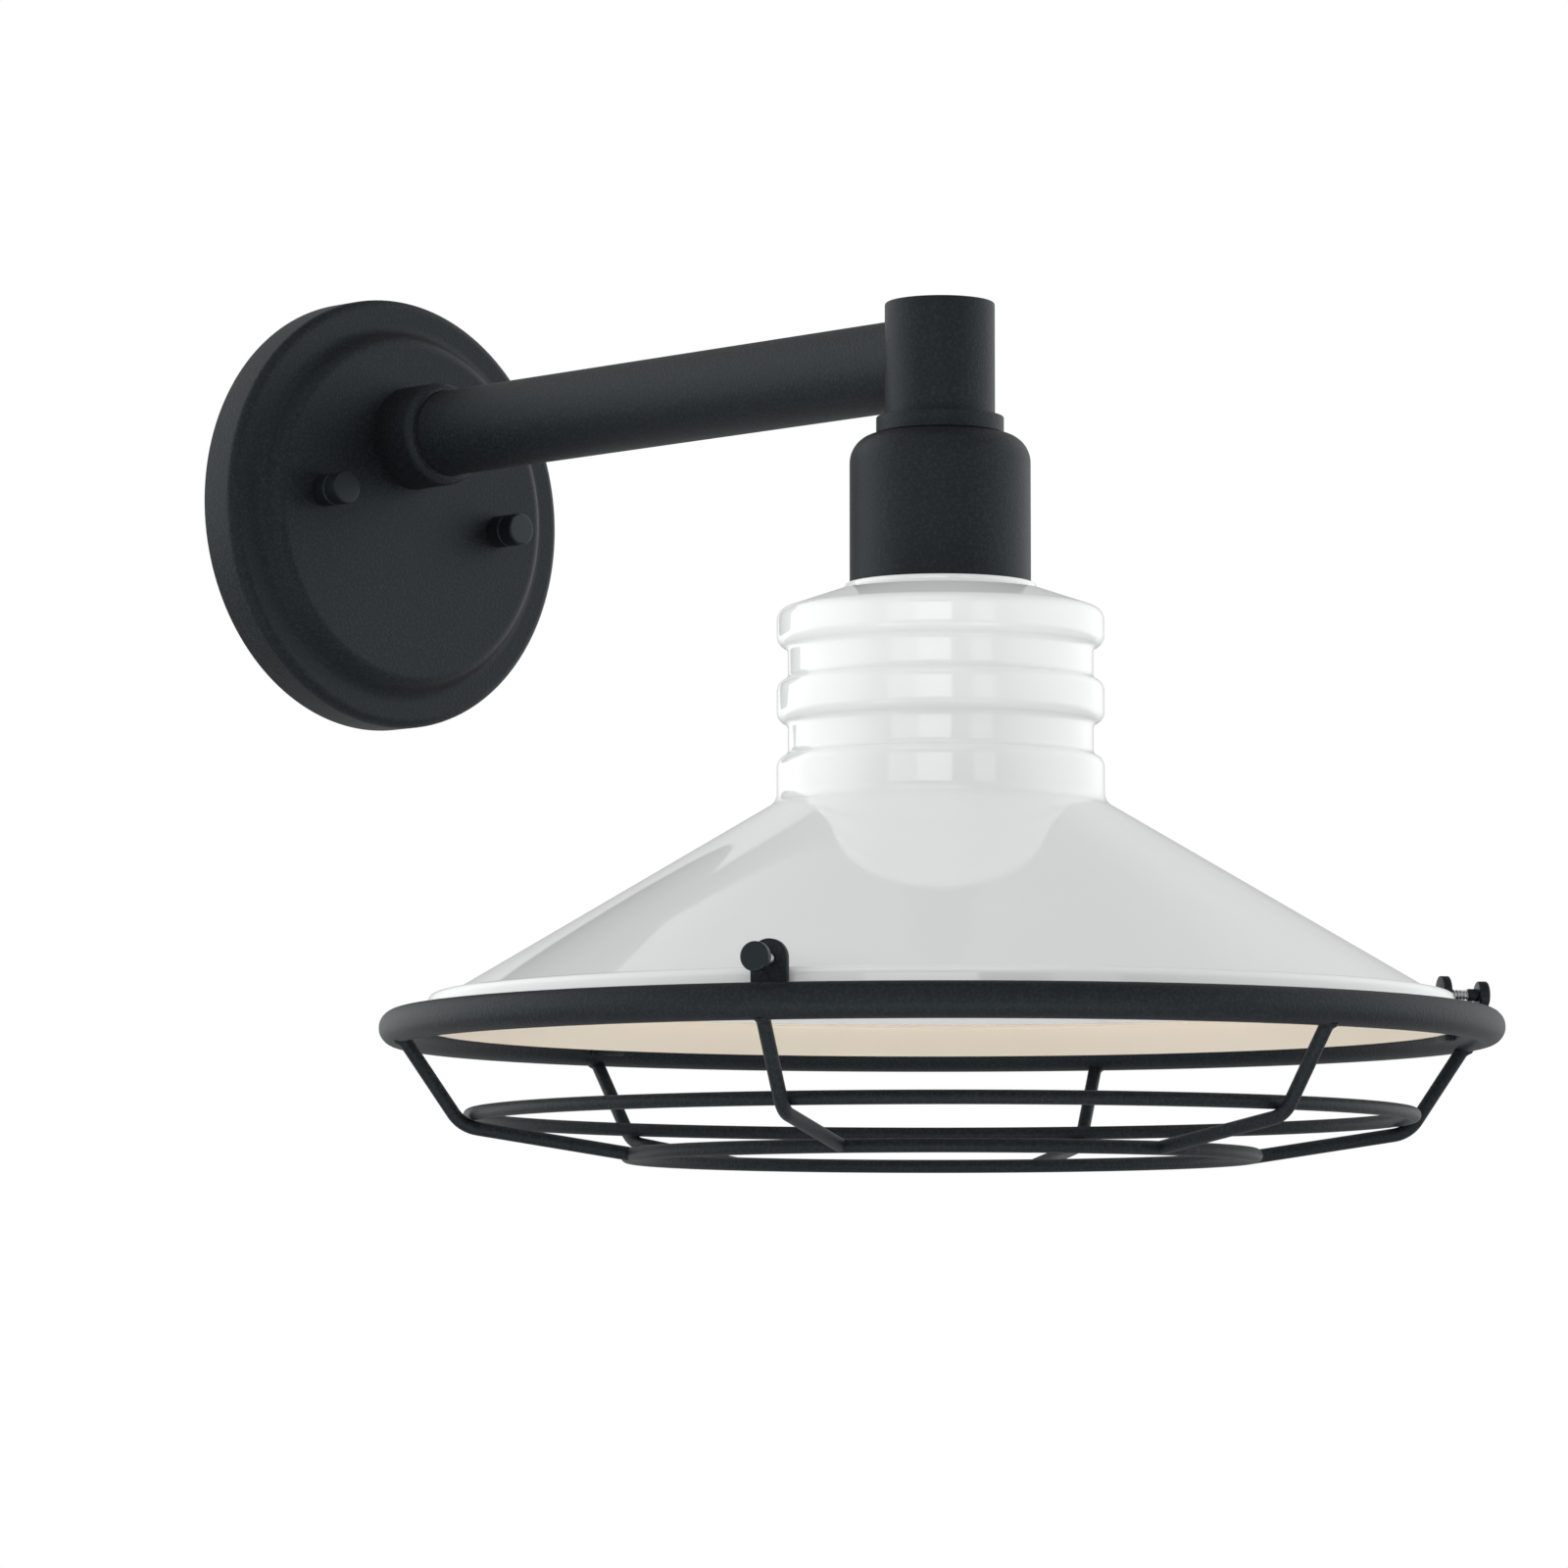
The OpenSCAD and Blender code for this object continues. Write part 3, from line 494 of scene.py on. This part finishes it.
black_coat = powder_coat()
canopy_low, canopy_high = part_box("wall_canopy")
arm_low, arm_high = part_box("arm_tube")
canopy_r = (canopy_high.x - canopy_low.x) / 2
canopy_out = canopy_high.y - canopy_low.y
canopy_wall = 0.003
canopy_step = 0.008
canopy_shoulder = 0.015
canopy_corner = 0.004
gasket_w = 0.007
gasket_t = 0.003
ledge_t = 0.002
face_r = canopy_r - canopy_shoulder
rim_out = canopy_out - canopy_step
step_slope = 0.0025
step_round = 0.0055
inside_r = canopy_r - canopy_wall
arm_r = (arm_high.x - arm_low.x) / 2
arm_line = Vector((0, 0, (arm_low.z + arm_high.z) / 2))
hole_gap = 0.0002
canopy = lathe("canopy_casting", [
    (0, canopy_out),
    (face_r - step_slope, canopy_out, step_round),
    (face_r + step_slope, rim_out, step_round),
    (canopy_r, rim_out, canopy_corner),
    (canopy_r, 0, 0.0005),
    (inside_r, 0, 0.0003),
    (inside_r, gasket_t),
    (inside_r - gasket_w, gasket_t),
    (inside_r - gasket_w, gasket_t + ledge_t),
    (inside_r, gasket_t + ledge_t),
    (inside_r, rim_out - canopy_wall, canopy_corner - canopy_wall),
    (face_r - canopy_wall + step_slope, rim_out - canopy_wall, step_round + canopy_wall),
    (face_r - canopy_wall - step_slope, canopy_out - canopy_wall, step_round - canopy_wall),
    (0, canopy_out - canopy_wall),
], Vector(), off_wall, 160, 96)
drilled(canopy, arm_r + hole_gap, arm_line, off_wall, 2 * canopy_out)
for place in stud_places:
    drilled(canopy, stud_r + 2 * hole_gap, place, off_wall, 2 * canopy_out)
bpy.ops.object.shade_smooth_by_angle(angle=math.radians(30))
dress(canopy, black_coat)
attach(canopy, "fixture")
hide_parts("wall_canopy")

# The cap nuts. They are blind round nuts, turned and painted satin black, that close the
# studs. A fine scribed line runs round each, a little under half way out.
satin = Finish(
    "black_fastener", Specular_IOR_Level=0.26, Specular_Tint=(0.76, 0.93, 1.0, 1))
satin_grain = satin.noise(0.0006, 2.0)
satin_tone = satin.blend(satin_grain, (0.0050, 0.0062, 0.0072, 1), (0.0090, 0.0108, 0.0122, 1))
black_satin = satin.wear(
    Base_Color=satin_tone, Roughness=0.36 + 0.10 * satin_grain,
    Normal=satin.relief(satin_grain, 0.00001))
nut_r = (right_high.x - right_low.x) / 2
nut_len = right_high.y - right_low.y
nut_line = 0.45 * nut_len
line_w = 0.0007
line_depth = 0.00035
nut_floor = 0.0025
for name, body, node, place in [
        ("left_cap_nut", "left_nut", "cap_nut_left", stud_places[0]),
        ("right_cap_nut", "right_nut", "cap_nut_right", stud_places[1])]:
    nut = lathe(name, [
        (0, nut_len),
        (nut_r, nut_len, 0.0008),
        (nut_r, nut_line + line_w + line_depth, 0.0003),
        (nut_r - line_depth, nut_line + line_w),
        (nut_r - line_depth, nut_line + line_depth),
        (nut_r, nut_line, 0.0003),
        (nut_r, 0, 0.0004),
        (stud_r + hole_gap / 4, 0),
        (stud_r + hole_gap / 4, nut_len - nut_floor),
        (0, nut_len - nut_floor),
    ], place + off_wall * canopy_out, off_wall, 48, 48)
    dress(nut, black_satin)
    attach(nut, body)
    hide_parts(node)

# The arm. A collar closes the canopy's hole round the arm, which is a length of steel tube,
# cut at its outer end to the round of the hub. A notched nut holds it inside the canopy.
collar_low, collar_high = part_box("arm_collar")
collar_r = (collar_high.x - collar_low.x) / 2
collar_len = collar_high.y - collar_low.y
collar_bore = arm_r + hole_gap / 4
collar_lip = 0.0008
collar_recess = 0.0006
collar_dip = 0.0006
collar_round = 0.0042
collar = lathe("collar", [
    (collar_bore, 0),
    (collar_r, 0, 0.0003),
    (collar_r, collar_len - collar_dip, collar_round),
    (collar_bore + collar_lip, collar_len, 0.0005),
    (collar_bore + collar_lip, collar_len - collar_recess, 0.0003),
    (collar_bore, collar_len - collar_recess),
    (collar_bore, 0),
], arm_line + off_wall * canopy_out, off_wall, 96, 96)
dress(collar, black_coat)
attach(collar, "fixture")
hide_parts("arm_collar")

dress(nodes["arm_tube"], black_coat)

arm_nut = eased(copied("arm_locknut", "arm_nut"), 0.0004)
dress(arm_nut, zinc_plate)
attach(arm_nut, "fixture")
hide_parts("arm_locknut")

# The hub and washer. The hub is a hollow round casting at the arm's end, and a thick washer
# spaces it off the cup. Both are powder coated.
dress(nodes["arm_hub"], black_coat)

up = Vector((0, 0, 1))
washer_low, washer_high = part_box("neck_washer")
washer_r = (washer_high.x - washer_low.x) / 2
washer_t = washer_high.z - washer_low.z
nipple_low, nipple_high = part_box("hub_nipple")
nipple_r = (nipple_high.x - nipple_low.x) / 2
shade_line = Vector((shade_axis.x, shade_axis.y, 0))
washer = lathe("washer", [
    (nipple_r + 2 * hole_gap, 0),
    (washer_r, 0, 0.0006),
    (washer_r, washer_t, 0.0006),
    (nipple_r + 2 * hole_gap, washer_t),
    (nipple_r + 2 * hole_gap, 0),
], shade_line + up * washer_low.z, up)
dress(washer, black_coat)
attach(washer, "fixture")
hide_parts("neck_washer")

# The nipple. A threaded lamp nipple ties the hub, washer, cup and bracket together under a
# hexagon nut. It is hidden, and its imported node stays, in zinc.
dress(nodes["hub_nipple"], zinc_plate)
nipple_nut = eased(copied("nipple_locknut", "nipple_nut"), 0.0004)
dress(nipple_nut, zinc_plate)
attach(nipple_nut, "fixture")
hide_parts("nipple_locknut")

# The cup. It is spun from steel sheet with a round shoulder, covers the lampholder, and
# stands on the shade's seat.
cup_low, cup_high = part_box("socket_cup")
cup_r = (cup_high.x - cup_low.x) / 2
cup_h = cup_high.z - cup_low.z
cup_shoulder = 0.0106
cup_wall = 0.0015
cup_hole_r = nipple_r + 2 * hole_gap
cup = lathe("cup", [
    (cup_hole_r, cup_h),
    (cup_r, cup_h, cup_shoulder),
    (cup_r, 0, 0.0005),
    (cup_r - cup_wall, 0, 0.0005),
    (cup_r - cup_wall, cup_h - cup_wall, cup_shoulder - cup_wall),
    (cup_hole_r, cup_h - cup_wall),
    (cup_hole_r, cup_h),
], shade_line + up * cup_low.z, up, 128, 96)
dress(cup, black_coat)
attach(cup, "fixture")
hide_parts("socket_cup")

# The lampholder. A bent steel strap in the cup carries a body of glazed porcelain by two
# screws, and a rolled brass screw shell and a brass contact sit in the body.
bracket = eased(copied("socket_bracket", "bracket_strap"), 0.0002)
dress(bracket, zinc_plate)
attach(bracket, "fixture")
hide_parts("socket_bracket")
dress(nodes["bracket_screws"], zinc_plate)

glaze = Finish("glazed_porcelain", Coat_Weight=0.6, Coat_Roughness=0.06)
glaze_tone = glaze.blend(glaze.noise(0.012, 3.0), (0.78, 0.77, 0.73, 1), (0.84, 0.83, 0.80, 1))
glaze_rough = 0.16 + 0.10 * glaze.noise(0.004)
porcelain = glaze.wear(Base_Color=glaze_tone, Roughness=glaze_rough)
dress(nodes["lampholder_body"], porcelain)

brass = Finish("brass_shell", Metallic=1.0)
brass_cloud = brass.noise(0.006, 3.0)
brass_tone = brass.blend(brass_cloud, (0.68, 0.46, 0.18, 1), (0.80, 0.60, 0.28, 1))
brass_finish = brass.wear(Base_Color=brass_tone, Roughness=0.22 + 0.16 * brass_cloud)
dress(nodes["lampholder_shell"], brass_finish)
dress(nodes["lampholder_contact"], brass_finish)

# The shade. It is spun from aluminium sheet over a former: a seat under the cup, a sloped
# shoulder, three beads with straight-floored grooves between them, a cone, a flat step and
# an upright lip. The outline is drawn down the outside and back up 1.2 mm inside it.
shade_low, shade_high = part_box("shade")
seat = shade_high.z
shade_r = (shade_high.x - shade_low.x) / 2
shade_h = shade_high.z - shade_low.z
shade_wall = 0.0012
shade_hole_r = 0.0204
seat_r = 0.03488
seat_drop = 0.0016
seat_round = 0.0008
bead_r = 0.0595
bead_round = 0.0043
bead_depth = 0.004
bead_half = 0.00732
groove_half = 0.00551
groove_round = 0.0025
groove_drop = 0.0292
groove_pitch = 0.0277
shoulder_drop = 0.01008
shoulder_round = 0.0046
neck_drop = 0.0797
cone_fillet = 0.006
lip_step = 0.0078
lip_h = 0.0132
lip_corner = 0.003
shelf_drop = shade_h - lip_h

outside = [
    (shade_hole_r, 0),
    (seat_r, 0, seat_round),
    (seat_r, -seat_drop),
    (bead_r, -shoulder_drop, shoulder_round),
]
for drop in [groove_drop, groove_drop + groove_pitch]:
    outside += [
        (bead_r, bead_half - drop, bead_round),
        (bead_r - bead_depth, groove_half - drop, groove_round),
        (bead_r - bead_depth, -groove_half - drop, groove_round),
        (bead_r, -bead_half - drop, bead_round),
    ]
outside += [
    (bead_r, -neck_drop, cone_fillet),
    (shade_r - lip_step, -shelf_drop),
    (shade_r, -shelf_drop, lip_corner),
    (shade_r, -shade_h),
]


def inset(corners, depth):
    """The same chain of corners, moved to its right by a depth."""
    moved = []
    for i in range(len(corners)):
        here = Vector(corners[i][:2])
        sides = []
        if i > 0:
            sides.append((here - Vector(corners[i - 1][:2])).normalized())
        if i + 1 < len(corners):
            sides.append((Vector(corners[i + 1][:2]) - here).normalized())
        rights = [Vector((side.y, -side.x)) for side in sides]
        mitre = rights[0] + rights[-1]
        shift = mitre * (2 * depth / mitre.length_squared)
        radius = corners[i][2] if len(corners[i]) > 2 else 0
        if radius and sides[0].cross(sides[-1]) < 0:
            radius = radius - depth
        elif radius:
            radius = radius + depth
        moved.append((here.x + shift.x, here.y + shift.y, radius))
    return moved


inside = inset(outside, shade_wall)[::-1]
shade = lathe("spun_shade", outside + inside + outside[:1], shade_line + up * seat, up, 192, 96)


def enamel(name, base, deep):
    """Glossy baked enamel: an even colour with a faint cloud in it, and a very slight orange
    peel that breaks the edges of reflections."""
    finish = Finish(name)
    cloud = finish.noise(0.06, 2.0)
    tone = finish.blend(cloud, base, deep)
    peel = finish.noise(0.0035, 1.0)
    rough = 0.04 + 0.04 * cloud
    return finish.wear(Base_Color=tone, Roughness=rough, Normal=finish.relief(peel, 0.000004))


white_enamel = enamel("white_enamel", (0.81, 0.82, 0.82, 1), (0.84, 0.85, 0.85, 1))
# The inside of the lip is partly a cream enamel and partly painted light: its warm tone is raised
# near white to stand in for light that the lamps don't bring inside the shade.
lip_enamel_with_painted_light = enamel("cream_lip_enamel_and_painted_warm_light", (0.95, 0.84, 0.69, 1), (0.97, 0.87, 0.73, 1))
dress(shade, white_enamel)
shade.data.materials.append(lip_enamel_with_painted_light)
# Faces below the shelf that turn inward get the cream enamel with its painted warm light; the
# inside of the cone above stays white.
for face in shade.data.polygons:
    out = Vector((face.center.x - shade_axis.x, face.center.y - shade_axis.y, 0)).normalized()
    if face.center.z < seat - shelf_drop - shade_wall and face.normal.dot(out) < 0.1:
        face.material_index = 1
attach(shade, "fixture")
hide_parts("shade")

# The ring nut. It is a porcelain ring that screws on to the lampholder's skirt and clamps
# the shade to it.
dress(nodes["shade_ring_nut"], porcelain)

# The guard's rings. A tube ring at the top and two wire rings below are bent round, butt
# welded and powder coated together with their legs.
for name in ["guard_top_ring", "guard_middle_ring", "guard_inner_ring"]:
    dress(nodes[name], black_coat)

# The legs. Each is one wire that leans out to the top ring, bends round the middle ring and
# runs in to the inner ring. A small fillet of weld closes its end at the top ring.
guard_turn = -3
leg_count = 6
ring_z = (ring_low.z + ring_high.z) / 2
ring_tube_r = (ring_high.z - ring_low.z) / 2
ring_r = (ring_high.x - ring_low.x) / 2 - ring_tube_r
middle_low, middle_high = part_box("guard_middle_ring")
wire_r = (middle_high.z - middle_low.z) / 2
middle_r = (middle_high.x - middle_low.x) / 2 - wire_r
middle_z = (middle_low.z + middle_high.z) / 2
leg_bend_r = 0.013
leg_aim = 0.0022
leg_seat = math.radians(68)
weld_gap = 0.0001
weld_flare = 0.0011
weld_depth = 0.0013
weld_hollow = 0.003
weld_sunk = 0.0001

# In the leg's own plane the bend's middle lies up and in from the middle ring. From there
# the upper run leaves the bend along a tangent to the top ring, past its middle by the aim.
# The weld widens in a hollow curve from the wire, and its wide end is sunk in the ring.
bend_in = leg_bend_r - 2 * wire_r - weld_gap
bend = Vector((middle_r - bend_in * math.cos(leg_seat), middle_z + bend_in * math.sin(leg_seat)))
to_ring = Vector((ring_r, ring_z)) - bend
leg_lean = (math.atan2(to_ring.x, to_ring.y)
            - math.asin((leg_bend_r - leg_aim) / to_ring.length))
upper = Vector((math.sin(leg_lean), math.cos(leg_lean)))
upper_foot = bend + leg_bend_r * Vector((upper.y, -upper.x))
upper_run = (Vector((ring_r, ring_z)) - upper_foot).dot(upper)
upper_meet = upper_foot + upper * (upper_run - math.sqrt(ring_tube_r ** 2 - leg_aim ** 2))
for k in range(leg_count):
    dress(nodes["guard_leg_%d" % (k + 1)], black_coat)
    bearing = math.radians(guard_turn + 360 / leg_count * k - 90)
    outward = Vector((math.cos(bearing), math.sin(bearing), 0))
    weld = lathe("leg_weld_%d" % (k + 1), [
        (0, -weld_depth),
        (wire_r - weld_sunk, -weld_depth),
        (wire_r + 0.1 * weld_flare, 0, weld_hollow),
        (wire_r + weld_flare, 1.2 * weld_depth, 0.0004),
        (wire_r + weld_flare, 2 * weld_depth),
        (0, 2 * weld_depth),
    ], shade_line + outward * upper_meet.x + up * upper_meet.y,
        outward * upper.x + up * upper.y, 40, 96)
    dress(weld, black_coat)
    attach(weld, "guard_cage")

# The tabs. Each is sheared from steel strip with a round top, punched for its screw, and
# welded upright to the inside of the top ring by a bead on each side.
tab_count = 3
tab_w = 0.013
tab_lead = -60
seam_r = 0.0011
seam_end_r = 0.0007
seam_end = 0.0024
seam_half = 0.0026
seam_bulge = 0.004
seam_in = 0.0004
seam_off = 0.0002
tab_ways = []
for k in range(tab_count):
    bearing = math.radians(guard_turn + tab_lead + 360 / tab_count * k - 90)
    tab_ways.append(Vector((math.cos(bearing), math.sin(bearing), 0)))
for k, outward in enumerate(tab_ways):
    node = "guard_tab_%d" % (k + 1)
    tab = eased(copied(node, "tab_%d" % (k + 1)), 0.00035)
    dress(tab, black_coat)
    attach(tab, "guard_cage")
    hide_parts(node)
    sideways = Vector((-outward.y, outward.x, 0))
    beads = []
    for side in [-1, 1]:
        seam = (shade_line + outward * (ring_r - ring_tube_r - seam_in)
                + sideways * side * (tab_w / 2 + seam_off) + up * ring_z)
        beads.append(lathe("bead", [
            (0, -seam_half),
            (seam_end_r, -seam_end, 0.0004),
            (seam_r, 0, seam_bulge),
            (seam_end_r, seam_end, 0.0004),
            (0, seam_half),
        ], seam, up, 24, 48))
    beads = joined("tab_welds_%d" % (k + 1), beads)
    dress(beads, black_coat)
    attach(beads, "guard_cage")

# The thumbscrews. Each has a bright rolled thread that runs through its tab and over the
# shade's lip, a plain black neck, and a flat disc for a head.
screw_r = 0.002
screw_root = 0.0016
screw_pitch = 0.0012
screw_len = 0.020
neck_len = 0.0035
neck_r = 0.0023
head_r = 0.0051
head_t = 0.004
lip_bite = 0.0044
core_sunk = 0.0005
thread_start = 0.0004
for k, outward in enumerate(tab_ways):
    low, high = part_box("thumbscrew_%d" % (k + 1))
    tip = shade_line + outward * (shade_r - lip_bite) + up * (low.z + high.z) / 2
    core = lathe("core", [
        (0, 0),
        (screw_root, 0, 0.0004),
        (screw_root, screw_len - neck_len + core_sunk),
        (0, screw_len - neck_len + core_sunk),
    ], tip, outward, 32, 32)
    ridge = thread(screw_r, screw_root, screw_pitch, tip + outward * thread_start,
                   screw_len - neck_len, outward, 24)
    head = lathe("head", [
        (0, screw_len - neck_len),
        (neck_r, screw_len - neck_len, 0.0003),
        (neck_r, screw_len, 0.0003),
        (head_r, screw_len, 0.0009),
        (head_r, screw_len + head_t, 0.0009),
        (0, screw_len + head_t),
    ], tip, outward, 64, 64)
    dress(core, zinc_plate)
    dress(ridge, zinc_plate)
    dress(head, black_satin)
    screw = joined("thumbscrew_%d_turned" % (k + 1), [head, core, ridge])
    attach(screw, "screw_%d" % (k + 1))
    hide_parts("thumbscrew_%d" % (k + 1))
